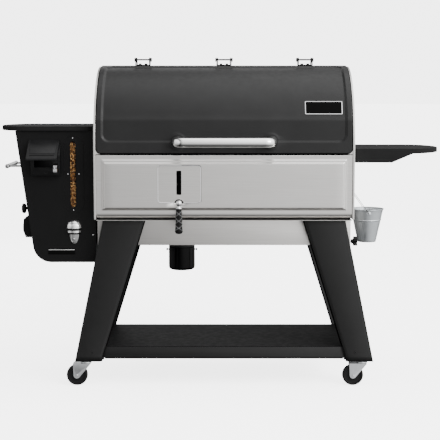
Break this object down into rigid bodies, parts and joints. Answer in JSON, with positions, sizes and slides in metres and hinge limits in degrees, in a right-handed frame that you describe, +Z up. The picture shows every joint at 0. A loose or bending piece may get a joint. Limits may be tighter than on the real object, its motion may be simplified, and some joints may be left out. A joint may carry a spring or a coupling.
{
  "type": "pellet smoker grill",
  "caption": "Barrel-shaped pellet smoker grill on a four-legged cart with casters, with a pellet hopper on its left and a bowed side shelf on its right.",
  "frame": {"origin": "on the floor, under the middle of the grill's bounding box", "axes": "+Z up, +X from the pellet hopper towards the side shelf, -Y towards the user who stands in front of the lid"},
  "size_m": [1.596, 0.672, 1.1778],
  "materials": {
    "graphite_coat": "dark graphite powder coat, satin",
    "black_coat": "black powder coat, satin",
    "stainless": "brushed stainless steel",
    "chrome_trim": "polished",
    "galvanised": "zinc-coated steel, satin",
    "enamel": "black enamel, glossy",
    "black_plastic": "matt moulded plastic",
    "grip_rubber": "matt rubber grip",
    "wheel_tread": "hard black rubber wheel",
    "clear_window": "clear plastic strip"
  },
  "bodies": {
    "cart": {"ash_collar": "black_coat", "auger_motor": "black_coat", "auger_tube": "galvanised", "belly_tub": "stainless", "bottle_opener": "chrome_trim", "bottom_shelf": "black_coat", "cleanout_chute": "black_coat", "controller_housing": "black_plastic", "drain_spout": "galvanised", "drip_tray": "enamel", "end_panel_left": "stainless", "end_panel_right": "stainless", "exhaust_duct": "black_coat", "fire_pot": "black_coat", "front_panel": "stainless", "heat_deflector": "black_coat", "hinge_left_bracket": "black_coat", "hinge_middle_bracket": "black_coat", "hinge_right_bracket": "black_coat", "hopper_bin": "galvanised", "hopper_body": "black_coat", "leg_front_left": "black_coat", "leg_front_right": "black_coat", "leg_rear_left": "black_coat", "leg_rear_right": "black_coat", "lever_plate": "stainless", "main_grate": "enamel", "pellet_window": "clear_window", "power_inlet": "black_plastic", "rear_shell": "graphite_coat", "side_handle": "stainless", "side_shelf": "black_coat", "upper_rack": "enamel"},
    "lid_body": {"lid": "graphite_coat", "lid_handle": "stainless", "hinge_left_strap": "black_coat", "hinge_middle_strap": "black_coat", "hinge_right_strap": "black_coat"},
    "hopper_cover": {"hopper_lid": "black_coat"},
    "controller_cover": {"controller_hood": "black_plastic"},
    "selector": {"selector_knob": "chrome_trim"},
    "lever_body": {"lever": "chrome_trim", "lever_grip": "grip_rubber"},
    "damper": {"flame_damper": "black_coat"},
    "ash_slider": {"ash_gate": "galvanised", "ash_knob": "black_plastic"},
    "cup": {"ash_cup": "black_coat"},
    "cleanout_slider": {"cleanout_knob": "black_plastic"},
    "pail": {"bucket": "galvanised"},
    "bail": {"bucket_bail": "galvanised"},
    "feed_screw": {"auger": "stainless"},
    "fan": {"combustion_fan": "black_plastic"},
    "front_left_swivel": {"caster_front_left_fork": "galvanised"},
    "front_left_roller": {"caster_front_left_wheel": "wheel_tread"},
    "front_right_swivel": {"caster_front_right_fork": "galvanised"},
    "front_right_roller": {"caster_front_right_wheel": "wheel_tread"},
    "rear_left_swivel": {"caster_rear_left_fork": "galvanised"},
    "rear_left_roller": {"caster_rear_left_wheel": "wheel_tread"},
    "rear_right_swivel": {"caster_rear_right_fork": "galvanised"},
    "rear_right_roller": {"caster_rear_right_wheel": "wheel_tread"}
  },
  "joints": [
    {"name": "lid_hinge", "type": "hinge", "parent": "cart", "child": "lid_body", "pos_m": [0.0147, 0.021, 1.1704], "axis": [-1, 0, 0], "range_deg": [0, 85]},
    {"name": "hopper_lid_hinge", "type": "hinge", "parent": "cart", "child": "hopper_cover", "pos_m": [-0.62, 0.106, 0.9153], "axis": [-1, 0, 0], "range_deg": [0, 95]},
    {"name": "hood_hinge", "type": "hinge", "parent": "cart", "child": "controller_cover", "pos_m": [-0.62425, -0.185, 0.8835], "axis": [-1, 0, 0], "range_deg": [0, 75]},
    {"name": "selector_turn", "type": "hinge", "parent": "cart", "child": "selector", "pos_m": [-0.5826, -0.234, 0.7828], "axis": [1, 0, 0], "continuous": true},
    {"name": "lever_pivot", "type": "hinge", "parent": "cart", "child": "lever_body", "pos_m": [-0.1447, -0.258, 0.6675], "axis": [-1, 0, 0], "range_deg": [0, 35]},
    {"name": "damper_slide", "type": "slide", "parent": "cart", "child": "damper", "axis": [0, 1, 0], "range_m": [0, 0.035]},
    {"name": "ash_gate_slide", "type": "slide", "parent": "cart", "child": "ash_slider", "axis": [1, 0, 0], "range_m": [0, 0.07]},
    {"name": "ash_cup_drop", "type": "slide", "parent": "cart", "child": "cup", "axis": [0, 0, -1], "range_m": [0, 0.08]},
    {"name": "cleanout_slide", "type": "slide", "parent": "cart", "child": "cleanout_slider", "axis": [-1, 0, 0], "range_m": [0, 0.04]},
    {"name": "bucket_lift", "type": "slide", "parent": "cart", "child": "pail", "axis": [0, 0, 1], "range_m": [0, 0.03]},
    {"name": "bail_swing", "type": "hinge", "parent": "pail", "child": "bail", "pos_m": [0.563, 0.096, 0.5935], "axis": [0, 1, 0], "range_deg": [0, 100]},
    {"name": "auger_spin", "type": "hinge", "parent": "cart", "child": "feed_screw", "pos_m": [-0.599, -0.019, 0.56], "axis": [1, 0, 0], "continuous": true},
    {"name": "fan_spin", "type": "hinge", "parent": "cart", "child": "fan", "pos_m": [-0.522, 0.044, 0.5], "axis": [1, 0, 0], "continuous": true},
    {"name": "front_left_swivel_turn", "type": "hinge", "parent": "cart", "child": "front_left_swivel", "pos_m": [-0.4828, -0.228, 0.095], "axis": [0, 0, 1], "continuous": true},
    {"name": "front_left_wheel_spin", "type": "hinge", "parent": "front_left_swivel", "child": "front_left_roller", "pos_m": [-0.5158, -0.228, 0.038], "axis": [0, 1, 0], "continuous": true},
    {"name": "front_right_swivel_turn", "type": "hinge", "parent": "cart", "child": "front_right_swivel", "pos_m": [0.5122, -0.228, 0.095], "axis": [0, 0, 1], "continuous": true},
    {"name": "front_right_wheel_spin", "type": "hinge", "parent": "front_right_swivel", "child": "front_right_roller", "pos_m": [0.4792, -0.228, 0.038], "axis": [0, 1, 0], "continuous": true},
    {"name": "rear_left_swivel_turn", "type": "hinge", "parent": "cart", "child": "rear_left_swivel", "pos_m": [-0.4828, 0.192, 0.095], "axis": [0, 0, 1], "continuous": true},
    {"name": "rear_left_wheel_spin", "type": "hinge", "parent": "rear_left_swivel", "child": "rear_left_roller", "pos_m": [-0.5158, 0.192, 0.038], "axis": [0, 1, 0], "continuous": true},
    {"name": "rear_right_swivel_turn", "type": "hinge", "parent": "cart", "child": "rear_right_swivel", "pos_m": [0.5122, 0.192, 0.095], "axis": [0, 0, 1], "continuous": true},
    {"name": "rear_right_wheel_spin", "type": "hinge", "parent": "rear_right_swivel", "child": "rear_right_roller", "pos_m": [0.4792, 0.192, 0.038], "axis": [0, 1, 0], "continuous": true}
  ],
  "couplings": [
    {"joint": "damper_slide", "follows": "lever_pivot", "m_per_rad": 0.055}
  ]
}
